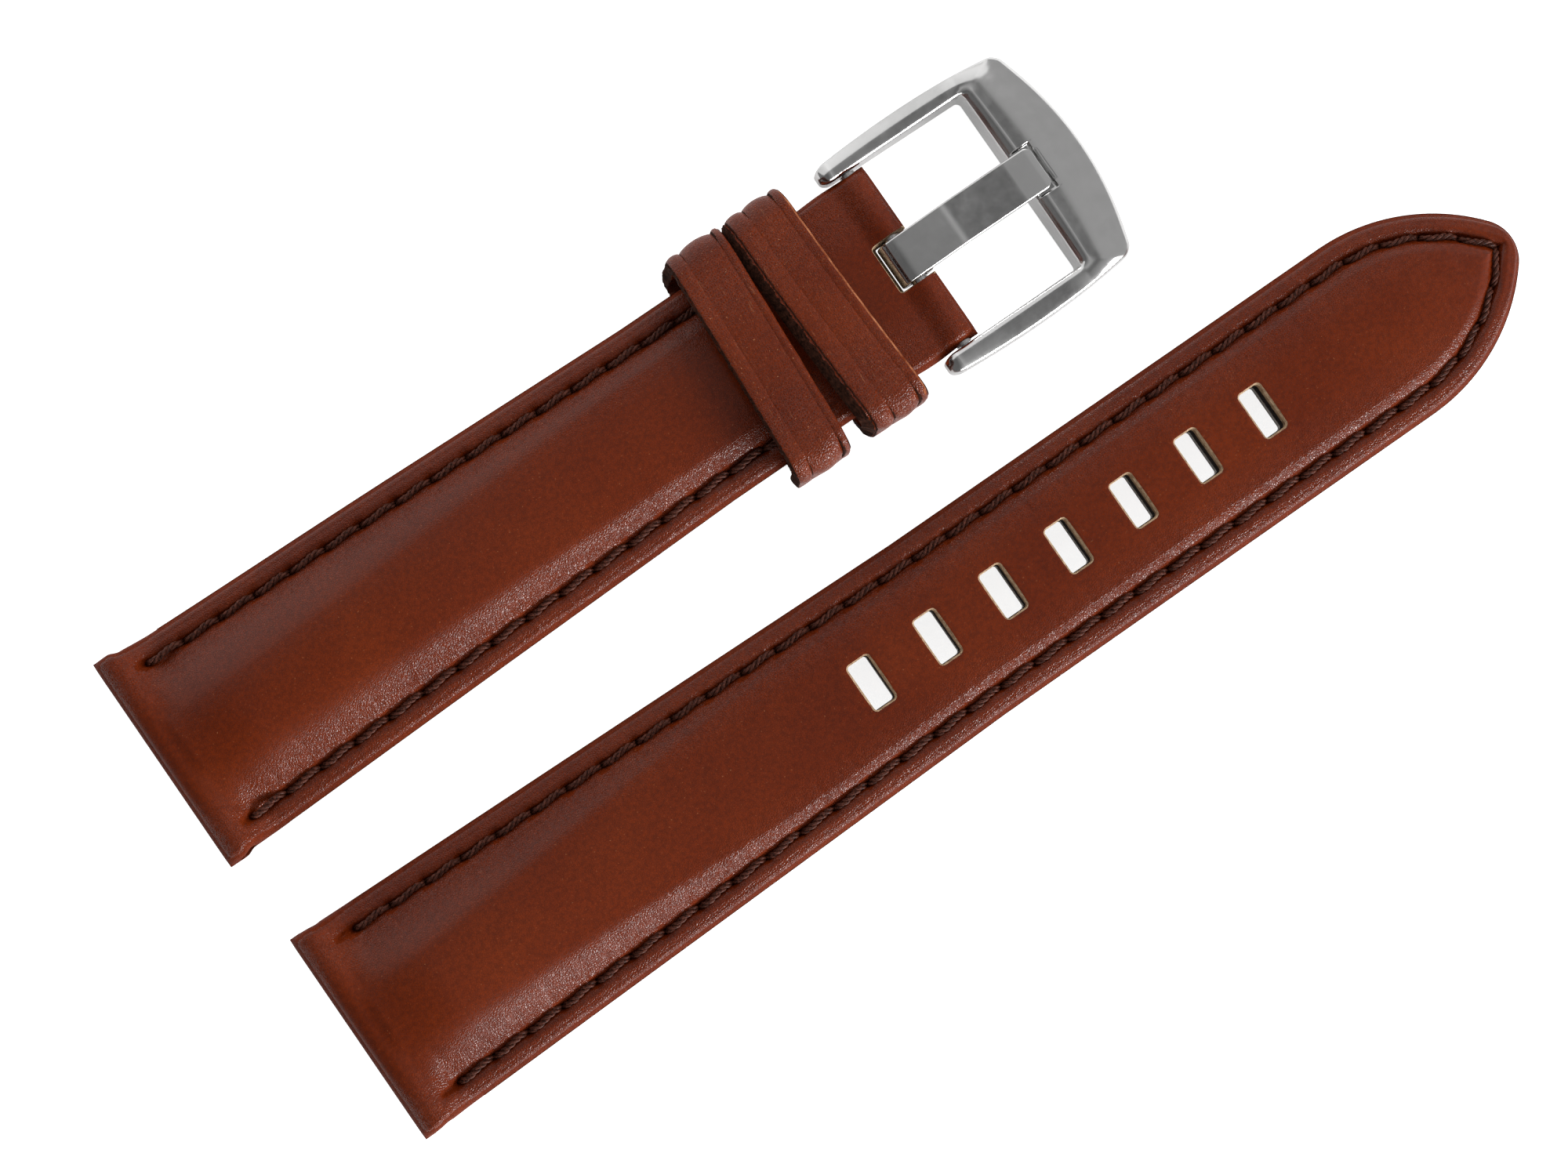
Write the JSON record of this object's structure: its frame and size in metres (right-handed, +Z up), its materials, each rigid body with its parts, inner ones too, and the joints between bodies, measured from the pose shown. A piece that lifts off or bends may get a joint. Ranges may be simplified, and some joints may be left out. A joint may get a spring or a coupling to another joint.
{
  "type": "watch strap",
  "caption": "Two-piece padded leather watch strap laid flat, with a tongue buckle on a spring bar, a fixed and a free keeper and adjustment slots.",
  "frame": {"origin": "middle of the lug bore of the buckle half, on the axis of the watch's spring bar", "axes": "+X along the strap from the watch end to the buckle, +Y across the strap away from the hole half, +Z up from the table that the strap lies on"},
  "size_m": [0.1205, 0.0489, 0.0074],
  "materials": {
    "upper_leather": "fine grained cognac brown, semi-gloss",
    "padding": "pressed felt",
    "tape": "woven tape",
    "lining_leather": "smooth dark brown lining leather, matt",
    "thread": "waxed dark brown sewing thread",
    "keeper_leather": "thick cognac brown leather with raw edges",
    "buckle_steel": "polished stainless steel",
    "spring_bar_steel": "drawn stainless steel"
  },
  "bodies": {
    "short_half": {"short_upper_leather": "upper_leather", "short_padding": "padding", "short_reinforcement": "tape", "short_lining": "lining_leather", "short_needle_thread": "thread", "short_bobbin_thread": "thread", "fixed_keeper": "keeper_leather"},
    "free_keeper": {"free_keeper": "keeper_leather"},
    "buckle": {"buckle_frame": "buckle_steel", "spring_bar_tube": "spring_bar_steel", "spring_bar_spring": "spring_bar_steel"},
    "tongue": {"buckle_tongue": "buckle_steel"},
    "left_tip": {"spring_bar_left_tip": "spring_bar_steel"},
    "right_tip": {"spring_bar_right_tip": "spring_bar_steel"},
    "long_half": {"long_upper_leather": "upper_leather", "long_padding": "padding", "long_reinforcement": "tape", "long_lining": "lining_leather", "long_needle_thread": "thread", "long_bobbin_thread": "thread"}
  },
  "joints": [
    {"name": "free_keeper_slide", "type": "slide", "parent": "short_half", "child": "free_keeper", "axis": [-1, 0, 0], "range_m": [0, 0.024]},
    {"name": "buckle_swing", "type": "hinge", "parent": "short_half", "child": "buckle", "pos_m": [0.0736, 0, 0.00075], "axis": [0, -1, 0], "range_deg": [-45, 30]},
    {"name": "tongue_swing", "type": "hinge", "parent": "buckle", "child": "tongue", "pos_m": [0.0736, 0, 0.00075], "axis": [0, -1, 0], "range_deg": [0, 74]},
    {"name": "left_tip_push", "type": "slide", "parent": "buckle", "child": "left_tip", "axis": [0, -1, 0], "range_m": [0, 0.0011], "stiffness_N_per_m": 1000, "springref_m": -0.0012, "deforming": ["spring_bar_spring"]},
    {"name": "right_tip_push", "type": "slide", "parent": "buckle", "child": "right_tip", "axis": [0, 1, 0], "range_m": [0, 0.0011], "stiffness_N_per_m": 1000, "springref_m": -0.0012, "deforming": ["spring_bar_spring"]},
    {"name": "long_half_lift", "type": "slide", "parent": "short_half", "child": "long_half", "axis": [0, 0, 1], "range_m": [0, 0.03]}
  ]
}
